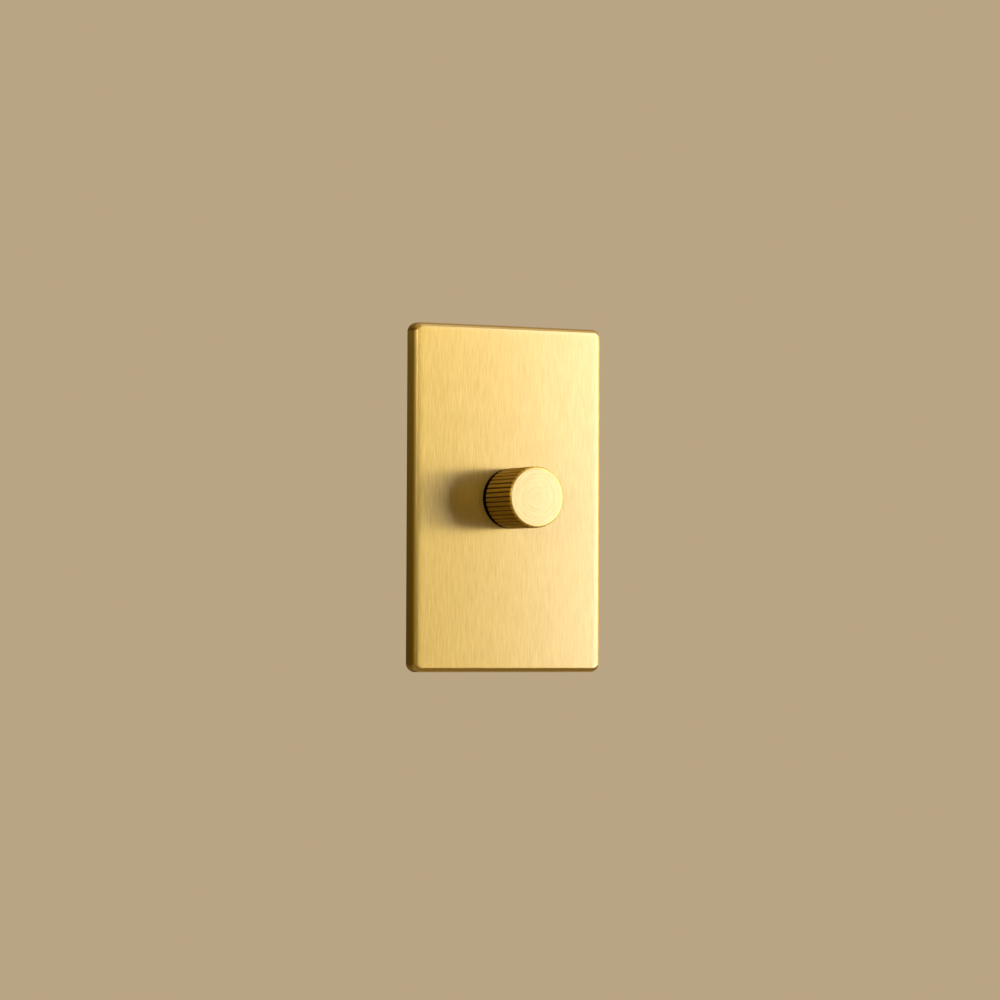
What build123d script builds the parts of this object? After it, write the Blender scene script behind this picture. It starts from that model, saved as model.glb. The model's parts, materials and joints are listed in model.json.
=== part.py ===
from build123d import *
import os

# Wall dimmer with a push-and-turn knob, in millimetres.
# X runs to the right, Y into the wall and Z up. The wall plane is Y = 0.

# Fixing rows, from the box screws outwards
box_screw_spacing = 83.34
carrier_screw_step = 6.75
plate_end_margin = 8.73

# Cover plate
plate_width = 69.85
plate_depth = 6.0
plate_wall = 1.5
plate_corner_radius = 3.0
plate_edge_radius = 1.6
pry_notch_width = 9.0
pry_notch_depth = 1.1

# Snap fit between the cover and its carrier
snap_spacing = 70.0
snap_length = 12.0
snap_height = 0.8
snap_reach = 0.4
snap_setback = 1.0
snap_root = 0.5

# Carrier
carrier_rim = 2.5
carrier_front_gap = 0.9
carrier_back_gap = 0.4
carrier_window_width = 33.3
carrier_window_height = 66.9
carrier_window_radius = 2.0

# Knob
knob_diameter = 20.0
knob_length = 17.0
knob_gap = 2.0
knob_rim_radius = 0.65
knob_back_chamfer = 0.4
flute_count = 40
flute_width = 0.6
flute_depth = 0.4
push_travel = 1.5

# Shaft, its sleeve in the knob and its bush
shaft_radius = 3.0
shaft_flat_depth = 1.0
shaft_grip = 11.5
shaft_collar_step = 1.2
shaft_collar_length = 1.0
sleeve_wall = 1.5
sleeve_cap = 1.0
bush_wall = 1.7
bush_setback = 0.6
bush_chamfer = 0.4
bush_flange_step = 2.2
bush_flange_thickness = 1.6
nut_across_flats = 13.0
nut_front_gap = 0.4
washer_thickness = 0.5
washer_radius = 7.3

# Strap
strap_thickness = 1.6
strap_setback = 0.2
strap_side_margin = 1.25
strap_end_gap = 0.5
strap_ear_width = 30.0
strap_ear_radius = 4.0
score_offset = 9.5
score_width = 0.6
score_depth = 0.4
score_start = 2.0
earth_tab_width = 9.0
earth_tab_depth = 10.0
earth_tab_root = 2.0
earth_bend_radius = 0.8

# Screws and rivets
box_screw_radius = 1.75
box_screw_neck = 1.45
box_screw_head_radius = 3.1
box_screw_length = 24.0
box_slot_length = 7.0
head_front_gap = 0.9
retainer_size = 9.0
retainer_thickness = 0.6
carrier_screw_radius = 1.5
carrier_screw_head_radius = 2.75
terminal_screw_radius = 1.9
terminal_screw_head_radius = 3.8
terminal_screw_head_height = 2.0
terminal_screw_length = 6.0
rivet_radius = 1.4
rivet_head_radius = 2.4
rivet_head_height = 0.9
screw_slot_width = 0.9
screw_slot_depth = 0.9

# Rear housing
housing_width = 42.0
housing_end_margin = 6.67
housing_wall = 2.0
housing_corner_radius = 4.0
housing_edge_radius = 2.0
rivet_inset = 3.8
post_radius = 3.5
label_recess_width = 26.0
label_recess_height = 20.0
label_recess_depth = 0.4
label_corner_radius = 1.0
gauge_length = 16.0
gauge_width = 2.2
gauge_depth = 0.7

# Side-wire terminals
terminal_offset = 17.0
terminal_front = 4.0
terminal_recess_length = 12.0
terminal_recess_width = 11.0
terminal_recess_depth = 3.4
terminal_plate_thickness = 1.0
terminal_tail_width = 4.0

# Potentiometer
pot_size = 22.0
pot_side_wall = 1.7
pot_front_wall = 1.5
pot_corner_radius = 3.0
half_turn = 180.0
turn_each_way = 135.0
track_end_angle = 25.0
stop_height = 3.6
stop_width = 1.6
lug_half_angle = 7.0
stop_margin = 1.0
stop_root = 0.2
rotor_thickness = 2.4
rotor_ring_width = 1.4
wiper_thickness = 0.3
wiper_reach = 1.9
finger_root = 1.0
finger_overrun = 0.8
finger_tip = 0.6
wafer_thickness = 1.0
track_thickness = 0.1
track_inner_radius = 5.2
track_width = 2.2
pot_lug_thickness = 0.5
pot_lug_width = 1.2
pot_lug_pitch = 5.0
pot_lug_standoff = 0.6

# Push switch
switch_wall = 1.5
plunger_width = 11.6
plunger_height = 8.6
plunger_length = 4.0
spring_pocket_floor = 1.6
spring_wire_radius = 0.3
spring_wire_sides = 8
spring_radius = 2.1
spring_turns = 4
bridge_thickness = 0.4
bridge_margin = 0.6
contact_spacing = 9.2
contact_radius = 0.8
contact_height = 0.5
contact_pad_size = 2.0
contact_pad_thickness = 0.6
contact_leg_width = 1.4
contact_back_space = 1.2

# Circuit board and the pieces on it
board_thickness = 1.6
board_edge_gap = 0.2
solder_space = 2.0
peg_radius = 1.0
peg_spacing = 16.0
lead_radius = 0.35
lead_overhang = 0.8
board_row_gap = 1.5
choke_radius = 7.0
choke_hole_radius = 3.5
choke_height = 6.0
choke_wire = 0.9
choke_turns = 12
choke_offset = 7.0
capacitor_width = 10.5
capacitor_height = 13.0
capacitor_depth = 11.0
capacitor_offset = 9.3
capacitor_lead_pitch = 10.0
capacitor_corner = 0.6
triac_width = 10.2
triac_body_length = 8.5
triac_tab_length = 6.0
triac_tab_thickness = 1.3
triac_body_thickness = 4.4
triac_lead_pitch = 2.54
triac_lead_size = 0.7
triac_lead_length = 3.0
triac_pad_thickness = 0.3
triac_pad_margin = 0.5
triac_rivet_radius = 1.5
resistor_radius = 1.2
resistor_length = 6.5
resistor_span = 10.0
resistor_pitch = 4.0
diac_radius = 0.9
diac_length = 4.0
diac_span = 7.6
timing_width = 7.2
timing_depth = 6.5
timing_height = 2.5
timing_lead_pitch = 5.0
timing_offset = 10.0
timing_corner = 0.4

# Clearances
slip_gap = 0.2
running_gap = 0.05
sliding_gap = 0.1
end_gap = 0.05
hole_gap = 0.1
bore_gap = 0.55
collar_clearance = 0.6
stop_clearance = 0.4
spring_clearance = 0.4
head_clearance = 0.3

# How far cuts run past the faces that they open, and how far lugs and leads reach into their bodies
cut_overrun = 1.0
lug_root = 1.0
lead_root = 1.0

# Heights of the fixing rows and outlines that follow from them
box_screw_z = box_screw_spacing / 2
carrier_screw_z = box_screw_z + carrier_screw_step
plate_height = 2 * (carrier_screw_z + plate_end_margin)
housing_height = 2 * (box_screw_z - housing_end_margin)
carrier_width = plate_width - 2 * (plate_wall + slip_gap)
carrier_height = plate_height - 2 * (plate_wall + slip_gap)
strap_length = carrier_height - 2 * (carrier_rim + strap_end_gap)
strap_body_width = housing_width + 2 * strap_side_margin
strap_body_height = housing_height + 2 * strap_side_margin
inner_half_width = housing_width / 2 - housing_wall
inner_half_height = housing_height / 2 - housing_wall

# Depths from the front of the knob to the back of the housing
plate_front = -plate_depth
plate_inside = plate_front + plate_wall
strap_back = -strap_setback
strap_front = strap_back - strap_thickness
cover_space = strap_front - plate_inside
web_front = plate_inside + carrier_front_gap
knob_back = plate_front - knob_gap
knob_front = knob_back - knob_length
shaft_front = knob_back - shaft_grip
bush_front = plate_front + bush_setback
bush_back = strap_back + bush_flange_thickness
pot_floor = bush_back + pot_front_wall
collar_front = bush_back + end_gap
collar_back = collar_front + shaft_collar_length
rotor_front = collar_back + push_travel + collar_clearance
rotor_back = rotor_front + rotor_thickness
leaf_back = rotor_back + wiper_thickness
wafer_front = leaf_back + wiper_reach
wafer_back = wafer_front + wafer_thickness
pot_back = wafer_back + pot_lug_thickness + end_gap
switch_floor = pot_back + switch_wall
plunger_front = switch_floor + sliding_gap
shaft_end = plunger_front - end_gap
plunger_back = plunger_front + plunger_length
bridge_back = plunger_back + bridge_thickness
button_back = bridge_back + contact_height
pad_front = button_back + push_travel + end_gap
pad_back = pad_front + contact_pad_thickness
switch_inside = pad_back + contact_back_space
switch_back = switch_inside + switch_wall
board_front = switch_back
board_back = board_front + board_thickness
lead_end = board_back + lead_overhang
housing_inside = board_back + solder_space
housing_back = housing_inside + housing_wall

# Radii that fit one another
bush_bore = shaft_radius + running_gap
bush_radius = bush_bore + bush_wall
sleeve_radius = bush_bore + sleeve_wall
collar_radius = shaft_radius + shaft_collar_step
pot_half = pot_size / 2
pot_bore = pot_half - pot_side_wall
stop_radius = pot_bore - stop_width
rotor_radius = stop_radius - stop_clearance
rotor_ring_inner = collar_radius + collar_clearance
cover_hole_radius = bush_radius + bore_gap

# Places of the pieces inside the housing
rivet_x = housing_width / 2 - rivet_inset
rivet_z = housing_height / 2 - rivet_inset
recess_floor = housing_width / 2 - terminal_recess_depth
terminal_plate_face = recess_floor + terminal_plate_thickness
terminal_back = terminal_front + terminal_recess_length
terminal_middle = (terminal_front + terminal_back) / 2
lug_row = pot_half + pot_lug_standoff
triac_lead_row = lug_row + pot_lug_thickness + board_row_gap
triac_top = -triac_lead_row - triac_lead_length
triac_body_end = triac_top - triac_body_length
triac_tab_end = triac_body_end - triac_tab_length
triac_front = strap_back + triac_pad_thickness
triac_hole_z = (triac_body_end + triac_tab_end) / 2
choke_z = pot_half + board_row_gap + choke_radius + choke_wire
choke_back = board_front - choke_wire - end_gap
choke_front = choke_back - choke_height
capacitor_z = pot_half + board_row_gap + capacitor_height / 2
capacitor_front = board_front - capacitor_depth
resistor_z = triac_lead_row + board_row_gap + 2 * resistor_radius + resistor_pitch / 2
diac_z = resistor_z + 1.5 * resistor_pitch
timing_z = resistor_z + resistor_pitch
peg_z = inner_half_height - post_radius - peg_radius


def slab(outline, y_front, y_back):
    """An outline seen from the front, given thickness between two depths."""
    plane = Plane(origin=(0, y_back, 0), x_dir=(1, 0, 0), z_dir=(0, -1, 0))
    return extrude(plane * outline, amount=y_back - y_front)


def bar(radius, y_front, y_back, x=0, z=0):
    """A round bar that runs straight back."""
    return slab(Pos(x, z) * Circle(radius), y_front, y_back)


def cross_bar(radius, x_from, x_to, y, z):
    """A round bar that runs to the right."""
    plane = Plane(origin=(x_from, y, z), x_dir=(0, 1, 0), z_dir=(1, 0, 0))
    return extrude(plane * Circle(radius), amount=x_to - x_from)


def block(x0, x1, y0, y1, z0, z1):
    """A box given by its limits."""
    middle = Pos((x0 + x1) / 2, (y0 + y1) / 2, (z0 + z1) / 2)
    return middle * Box(abs(x1 - x0), abs(y1 - y0), abs(z1 - z0))


def turned(*points):
    """A solid of revolution about Y from points of radius and depth."""
    return revolve(make_face(Polyline(*points, close=True)), axis=Axis.Y)


def together(solids):
    """Separate solids that belong to one piece of the list."""
    group = Part()
    for solid in solids:
        group += solid
    return group


def d_outline(radius, flat_depth):
    """A circle with a flat on its upper side."""
    flat = Pos(0, 2 * radius - flat_depth) * Rectangle(4 * radius, 2 * radius)
    return Circle(radius) - flat


def sector(inner, outer, middle_angle, half_angle):
    """A piece of a ring between two radii, about an angle measured from the right."""
    reach = 2 * outer
    span = 2 * half_angle
    wedge = Polyline((0, 0), (reach, 0), close=False)
    edge = PolarLine((0, 0), reach, span)
    arc = CenterArc((0, 0), reach, 0, span)
    face = make_face([wedge.edge(), arc, edge])
    return Rot(0, 0, middle_angle - half_angle) * face & (Circle(outer) - Circle(inner))


def countersunk(head, shank, y_head, y_end):
    """A countersunk shape about Y, with the wide end at the front."""
    neck = y_head + head - shank
    return turned((0, y_head), (head, y_head), (shank, neck), (shank, y_end), (0, y_end))


def snap_blocks(x_from, x_to, y_middle, length, height):
    """The four snap places on the two long sides."""
    solids = []
    for side in (-1, 1):
        for z in (-snap_spacing / 2, snap_spacing / 2):
            low = y_middle - height / 2
            high = y_middle + height / 2
            solids.append(block(side * x_from, side * x_to, low, high, z - length / 2, z + length / 2))
    return solids


def make_cover_plate():
    outline = RectangleRounded(plate_width, plate_height, plate_corner_radius)
    body = slab(outline, plate_front, 0)
    body = fillet(body.faces().sort_by(Axis.Y)[0].edges(), plate_edge_radius)
    inner_width = plate_width - 2 * plate_wall
    inner_height = plate_height - 2 * plate_wall
    hollow = RectangleRounded(inner_width, inner_height, plate_corner_radius - plate_wall)
    body -= slab(hollow, plate_inside, 0)
    body -= bar(cover_hole_radius, plate_front, 0)
    x_in = inner_width / 2
    groove_length = snap_length + 2 * slip_gap
    groove_height = snap_height + 2 * slip_gap
    x_end = x_in + snap_reach + slip_gap
    body -= snap_blocks(x_in - snap_root, x_end, -snap_setback, groove_length, groove_height)
    z_low = -plate_height / 2
    z_high = z_low + plate_wall + cut_overrun
    half = pry_notch_width / 2
    return body - block(-half, half, -pry_notch_depth, cut_overrun, z_low - cut_overrun, z_high)


def make_plate_carrier():
    outline = RectangleRounded(carrier_width, carrier_height, plate_corner_radius - plate_wall)
    inside = Rectangle(carrier_width - 2 * carrier_rim, carrier_height - 2 * carrier_rim)
    window = RectangleRounded(carrier_window_width, carrier_window_height, carrier_window_radius)
    rim = slab(outline - inside, plate_inside, -carrier_back_gap)
    body = rim + slab(outline - window, web_front, strap_front)
    for side in (-1, 1):
        body -= bar(box_screw_head_radius + head_clearance, web_front, strap_front, 0, side * box_screw_z)
        head = carrier_screw_head_radius + hole_gap
        hole = countersunk(head, carrier_screw_radius + hole_gap, web_front, 0)
        body -= Pos(0, 0, side * carrier_screw_z) * hole
    x_out = carrier_width / 2
    x_end = x_out + slip_gap + snap_reach
    beads = snap_blocks(x_out - snap_root, x_end, -snap_setback, snap_length, snap_height)
    return body + beads


def make_carrier_screws():
    solids = []
    for side in (-1, 1):
        screw = countersunk(carrier_screw_head_radius, carrier_screw_radius, web_front, strap_back - hole_gap)
        half = screw_slot_width / 2
        slot_back = web_front + screw_slot_depth
        screw -= block(-carrier_width, carrier_width, web_front - cut_overrun, slot_back, -half, half)
        solids.append(Pos(0, 0, side * carrier_screw_z) * screw)
    return together(solids)


def make_knob():
    flute = Polyline(
        (knob_diameter / 2 - flute_depth, 0),
        (knob_diameter / 2 + flute_depth, flute_width),
        (knob_diameter / 2 + flute_depth, -flute_width),
        close=True,
    )
    outline = Circle(knob_diameter / 2) - PolarLocations(0, flute_count) * make_face(flute)
    fluted = slab(outline, knob_front, knob_back)
    r = knob_diameter / 2
    silhouette = turned(
        (0, knob_front),
        (r, knob_front),
        (r, knob_back - knob_back_chamfer),
        (r - knob_back_chamfer, knob_back),
        (0, knob_back),
    )
    rim = silhouette.faces().sort_by(Axis.Y)[0].edges()
    silhouette = fillet(rim, knob_rim_radius)
    bore_end = shaft_front - end_gap - sleeve_cap - end_gap
    return (fluted & silhouette) - bar(sleeve_radius + end_gap, bore_end, knob_back)


def make_knob_insert():
    sleeve = bar(sleeve_radius, shaft_front - end_gap - sleeve_cap, knob_back)
    hole = d_outline(bush_bore, shaft_flat_depth)
    return sleeve - slab(hole, shaft_front - end_gap, knob_back)


def make_shaft():
    grip = d_outline(shaft_radius, shaft_flat_depth)
    grip_end = knob_back + end_gap
    body = slab(grip, shaft_front, grip_end)
    body += bar(shaft_radius, grip_end, collar_back)
    body += bar(collar_radius, collar_front, collar_back)
    body += slab(grip, collar_back, shaft_end)
    return body


def make_bushing():
    return turned(
        (bush_bore, bush_front),
        (bush_radius - bush_chamfer, bush_front),
        (bush_radius, bush_front + bush_chamfer),
        (bush_radius, strap_back),
        (bush_radius + bush_flange_step, strap_back),
        (bush_radius + bush_flange_step, bush_back),
        (bush_bore, bush_back),
    )


def make_bush_washer():
    ring = Circle(washer_radius) - Circle(bush_radius + hole_gap)
    return slab(ring, strap_front - washer_thickness, strap_front)


def make_bush_nut():
    hexagon = RegularPolygon(nut_across_flats / 2, 6, major_radius=False)
    ring = hexagon - Circle(bush_radius + running_gap)
    return slab(ring, plate_inside + nut_front_gap, strap_front - washer_thickness)


def make_earth_tab():
    edge = -strap_ear_width / 2
    outer = edge - strap_thickness
    corner = (outer, strap_front)
    bend = (edge, strap_back)
    shape = Polyline(
        (edge + earth_tab_root, strap_front),
        corner,
        (outer, earth_tab_depth),
        (edge, earth_tab_depth),
        bend,
        (edge + earth_tab_root, strap_back),
        close=True,
    )
    face = make_face(shape)
    outside = face.vertices().sort_by_distance((*corner, 0))[0]
    face = fillet(outside, earth_bend_radius + strap_thickness)
    inside = face.vertices().sort_by_distance((*bend, 0))[0]
    face = fillet(inside, earth_bend_radius)
    low = -box_screw_z - earth_tab_width / 2
    return extrude(Pos(0, 0, low) * face, amount=earth_tab_width)


def make_strap_scores():
    solids = []
    for x in (-score_offset, score_offset):
        for side in (-1, 1):
            near = side * (box_screw_z + score_start)
            far = side * strap_length
            half = score_width / 2
            back = strap_back + cut_overrun
            solids.append(block(x - half, x + half, strap_back - score_depth, back, near, far))
    return solids


def make_mounting_strap():
    ears = RectangleRounded(strap_ear_width, strap_length, strap_ear_radius)
    middle = RectangleRounded(strap_body_width, strap_body_height, housing_corner_radius)
    body = slab(ears + middle, strap_front, strap_back)
    body += make_earth_tab()
    body -= bar(bush_radius + hole_gap, strap_front, strap_back)
    slot_width = 2 * (box_screw_radius + head_clearance)
    for side in (-1, 1):
        slot = Pos(0, side * box_screw_z) * SlotOverall(box_slot_length, slot_width)
        body -= slab(slot, strap_front, strap_back)
        body -= bar(carrier_screw_radius + running_gap, strap_front, strap_back, 0, side * carrier_screw_z)
        for x in (-rivet_x, rivet_x):
            hole = countersunk(rivet_head_radius + hole_gap, rivet_radius + hole_gap, strap_front, strap_back)
            body -= Pos(x, 0, side * rivet_z) * hole
    body -= bar(triac_rivet_radius + hole_gap, strap_front, strap_back, 0, triac_hole_z)
    tab_x = -strap_ear_width / 2
    hole_y = earth_tab_depth - earth_tab_width / 2
    hole_radius = terminal_screw_radius + running_gap
    hole_from = tab_x - strap_thickness - cut_overrun
    body -= cross_bar(hole_radius, hole_from, tab_x + cut_overrun, hole_y, -box_screw_z)
    return body - make_strap_scores()


def make_box_screws():
    head_front = strap_front - (cover_space - head_front_gap)
    neck_end = strap_back + retainer_thickness + 2 * sliding_gap
    tip = box_screw_radius - box_screw_neck
    solids = []
    for side in (-1, 1):
        screw = turned(
            (0, head_front),
            (box_screw_head_radius * 0.8, head_front),
            (box_screw_head_radius, head_front + box_screw_head_radius * 0.2),
            (box_screw_head_radius, strap_front),
            (box_screw_neck, strap_front),
            (box_screw_neck, neck_end),
            (box_screw_radius, neck_end),
            (box_screw_radius, box_screw_length - tip),
            (box_screw_neck, box_screw_length),
            (0, box_screw_length),
        )
        half = screw_slot_width / 2
        slot_back = head_front + screw_slot_depth
        screw -= block(-plate_width, plate_width, head_front - cut_overrun, slot_back, -half, half)
        solids.append(Pos(0, 0, side * box_screw_z) * screw)
    return together(solids)


def make_screw_retainers():
    outline = RectangleRounded(retainer_size, retainer_size, retainer_size / 8)
    outline -= Circle(box_screw_neck + running_gap)
    solids = []
    for side in (-1, 1):
        solids.append(slab(Pos(0, side * box_screw_z) * outline, strap_back, strap_back + retainer_thickness))
    return together(solids)


def side_screw(seat):
    """A slotted screw that enters along X, with its head to the right of the seat."""
    head_end = seat + terminal_screw_head_height
    screw = cross_bar(terminal_screw_head_radius, seat, head_end, 0, 0)
    screw = chamfer(screw.edges().sort_by(Axis.X)[-1], terminal_screw_head_height / 4)
    screw += cross_bar(terminal_screw_radius, seat - terminal_screw_length, seat, 0, 0)
    half = screw_slot_width / 2
    reach = 2 * terminal_screw_head_radius
    slot_end = head_end + cut_overrun
    return screw - block(head_end - screw_slot_depth, slot_end, -reach, reach, -half, half)


def make_ground_screw():
    y = earth_tab_depth - earth_tab_width / 2
    seat = strap_ear_width / 2 + strap_thickness
    return Pos(0, y, -box_screw_z) * Rot(0, 0, 180) * side_screw(seat)


def make_terminal_screws():
    right = Pos(0, terminal_middle, -terminal_offset) * side_screw(terminal_plate_face)
    left = Pos(0, terminal_middle, -terminal_offset) * Rot(0, 0, 180) * side_screw(terminal_plate_face)
    return together([right, left])


def make_terminal_plates():
    half_pad = terminal_recess_width / 2 - 2 * hole_gap
    half_tail = terminal_tail_width / 2
    solids = []
    for side in (-1, 1):
        x0 = side * recess_floor
        x1 = side * terminal_plate_face
        front = terminal_front + 2 * hole_gap
        back = terminal_back - 2 * hole_gap
        plate = block(x0, x1, front, back, -half_pad, half_pad)
        plate += block(x0, x1, back, lead_end, -half_tail, half_tail)
        radius = terminal_screw_radius + running_gap
        low = min(x0, x1) - cut_overrun
        high = max(x0, x1) + cut_overrun
        plate -= cross_bar(radius, low, high, terminal_middle, 0)
        solids.append(Pos(0, 0, -terminal_offset) * plate)
    return together(solids)


def add_terminal_recess(body, side):
    """Thickens one side wall inwards and sinks the terminal recess into it."""
    half = terminal_recess_width / 2
    wall = housing_wall
    z = -terminal_offset
    inner = side * (recess_floor - wall)
    outer = side * housing_width / 2
    body += block(inner, outer, terminal_front - wall, terminal_back + wall, z - half - wall, z + half + wall)
    mouth = outer + side * cut_overrun
    body -= block(side * recess_floor, mouth, terminal_front, terminal_back, z - half, z + half)
    low = min(inner, outer) - cut_overrun
    high = max(inner, outer) + cut_overrun
    body -= cross_bar(terminal_screw_radius + hole_gap, low, high, terminal_middle, z)
    half_tail = terminal_tail_width / 2 + hole_gap
    x0 = side * (recess_floor - hole_gap)
    x1 = side * (terminal_plate_face + hole_gap)
    front = terminal_back - cut_overrun
    back = terminal_back + wall + cut_overrun
    return body - block(x0, x1, front, back, z - half_tail, z + half_tail)


def make_rear_housing():
    outline = RectangleRounded(housing_width, housing_height, housing_corner_radius)
    body = slab(outline, strap_back, housing_back)
    body = fillet(body.faces().sort_by(Axis.Y)[-1].edges(), housing_edge_radius)
    inner_corner = housing_corner_radius - housing_wall
    hollow = RectangleRounded(2 * inner_half_width, 2 * inner_half_height, inner_corner)
    body -= slab(hollow, strap_back, housing_inside)
    for side in (-1, 1):
        for z in (-rivet_z, rivet_z):
            body += bar(post_radius, strap_back, housing_inside, side * rivet_x, z)
        for z in (-peg_z, peg_z):
            body += bar(2 * peg_radius, board_back, housing_inside, side * peg_spacing / 2, z)
            body += bar(peg_radius, board_front - peg_radius / 2, housing_inside, side * peg_spacing / 2, z)
        body = add_terminal_recess(body, side)
        for z in (-rivet_z, rivet_z):
            body -= bar(rivet_radius + hole_gap, strap_back, housing_back, side * rivet_x, z)
    label = RectangleRounded(label_recess_width, label_recess_height, label_corner_radius)
    label = Pos(0, housing_height / 6) * label
    body -= slab(label, housing_back - label_recess_depth, housing_back)
    gauge = Pos(0, -housing_height / 5) * SlotOverall(gauge_length, gauge_width)
    return body - slab(gauge, housing_back - gauge_depth, housing_back)


def make_housing_rivets():
    rivet = countersunk(rivet_head_radius, rivet_radius, strap_front, housing_back)
    rivet += turned(
        (0, housing_back),
        (rivet_head_radius, housing_back),
        (rivet_head_radius * 0.7, housing_back + rivet_head_height),
        (0, housing_back + rivet_head_height),
    )
    solids = []
    for x in (-rivet_x, rivet_x):
        for z in (-rivet_z, rivet_z):
            solids.append(Pos(x, 0, z) * rivet)
    return together(solids)


def make_pot_case():
    body = slab(RectangleRounded(pot_size, pot_size, pot_corner_radius), bush_back, pot_back)
    body -= bar(pot_bore, pot_floor, pot_back)
    body -= bar(collar_radius + collar_clearance, bush_back, pot_floor)
    half_stop = half_turn - turn_each_way - lug_half_angle - stop_margin
    stop = sector(stop_radius, pot_half - stop_root, -90, half_stop)
    body += slab(stop, pot_floor, pot_floor + stop_height)
    for x in (-pot_lug_pitch, 0, pot_lug_pitch):
        half_lug = pot_lug_width / 2 + hole_gap
        back = pot_back + cut_overrun
        low = -pot_half - cut_overrun
        body -= block(x - half_lug, x + half_lug, wafer_back - hole_gap, back, low, 0)
    return body


def make_pot_rotor():
    bore = d_outline(bush_bore, shaft_flat_depth)
    body = slab(Circle(rotor_radius) - bore, rotor_front, rotor_back)
    ring = Circle(rotor_ring_inner + rotor_ring_width) - Circle(rotor_ring_inner)
    body += slab(ring, pot_floor + end_gap, rotor_front)
    lug = sector(rotor_radius - lug_root, pot_bore - slip_gap, 90, lug_half_angle)
    return body + slab(lug, rotor_front, pot_floor + stop_height)


def make_wiper_contact():
    ring = Circle(track_inner_radius + track_width / 2) - Circle(shaft_radius + collar_clearance)
    body = slab(ring, rotor_back, leaf_back)
    tip = wafer_front - track_thickness - end_gap
    run = track_width + finger_overrun
    finger = Polyline(
        (-finger_root, rotor_back),
        (0.0, rotor_back),
        (run, tip - wiper_thickness),
        (run, tip),
        (run - finger_tip, tip),
        (-finger_root, leaf_back),
        close=True,
    )
    half = track_width / 4
    strip = extrude(Pos(0, 0, track_inner_radius + half) * make_face(finger), amount=2 * half)
    return body + strip + Rot(0, 180, 0) * strip


def make_track_wafer():
    ring = Circle(pot_bore - hole_gap) - Circle(shaft_radius + collar_clearance)
    body = slab(ring, wafer_front, wafer_back)
    track = sector(track_inner_radius, track_inner_radius + track_width, 90, turn_each_way + track_end_angle)
    return body + slab(track, wafer_front - track_thickness, wafer_front)


def make_pot_lugs():
    half = pot_lug_width / 2
    solids = []
    for x in (-pot_lug_pitch, 0, pot_lug_pitch):
        low = -lug_row - pot_lug_thickness
        lug = block(x - half, x + half, wafer_back, wafer_back + pot_lug_thickness, low, -pot_bore * 0.7)
        lug += block(x - half, x + half, wafer_back, lead_end, low, -lug_row)
        solids.append(lug)
    return together(solids)


def make_switch_case():
    body = slab(RectangleRounded(pot_size, pot_size, pot_corner_radius), pot_back, switch_back)
    cavity = Rectangle(plunger_width + 2 * sliding_gap, plunger_height + 2 * sliding_gap)
    body -= slab(cavity, switch_floor, switch_inside)
    body -= bar(shaft_radius + head_clearance, pot_back, switch_floor)
    for side in (-1, 1):
        x = side * contact_spacing / 2
        half_x = contact_pad_thickness / 2 + hole_gap
        half_z = contact_leg_width / 2 + hole_gap
        front = switch_inside - cut_overrun
        back = switch_back + cut_overrun
        body -= block(x - half_x, x + half_x, front, back, -half_z, half_z)
    return body


def make_switch_plunger():
    body = slab(Rectangle(plunger_width, plunger_height), plunger_front, plunger_back)
    pocket = spring_radius + spring_wire_radius + spring_clearance
    return body - bar(pocket, plunger_front + spring_pocket_floor, plunger_back)


def make_contact_bridge():
    hole = spring_radius + spring_wire_radius + spring_clearance
    outline = Rectangle(plunger_width - bridge_margin, plunger_height - bridge_margin) - Circle(hole)
    body = slab(outline, plunger_back, bridge_back)
    for side in (-1, 1):
        body += bar(contact_radius, bridge_back, button_back, side * contact_spacing / 2, 0)
    return body


def make_return_spring():
    start = plunger_front + spring_pocket_floor + spring_wire_radius + end_gap
    length = switch_inside - spring_wire_radius - end_gap - start
    path = Helix(length / spring_turns, length, spring_radius, center=(0, start, 0), direction=(0, 1, 0))
    section = Plane(origin=path @ 0, z_dir=path % 0) * RegularPolygon(spring_wire_radius, spring_wire_sides)
    return sweep(section, path=path)


def make_fixed_contacts():
    half = contact_pad_size / 2
    half_leg_x = contact_pad_thickness / 2
    half_leg_z = contact_leg_width / 2
    solids = []
    for side in (-1, 1):
        x = side * contact_spacing / 2
        contact = block(x - half, x + half, pad_front, pad_back, -half * 1.4, half * 1.4)
        contact += block(x - half_leg_x, x + half_leg_x, pad_back, lead_end, -half_leg_z, half_leg_z)
        solids.append(contact)
    return together(solids)


def lead_places():
    """Centres of the round leads that pass through the board, as x and z."""
    places = [(capacitor_offset, capacitor_z + side * capacitor_lead_pitch / 2) for side in (-1, 1)]
    places += [choke_lead_place(turn) for turn in (0, choke_turns - 1)]
    for side in (-1, 1):
        places.append((side * resistor_span / 2, -resistor_z + resistor_pitch / 2))
        places.append((side * resistor_span / 2, -resistor_z - resistor_pitch / 2))
        places.append((side * diac_span / 2, -diac_z))
        places.append((timing_offset + side * timing_lead_pitch / 2, -timing_z))
    return places


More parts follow.
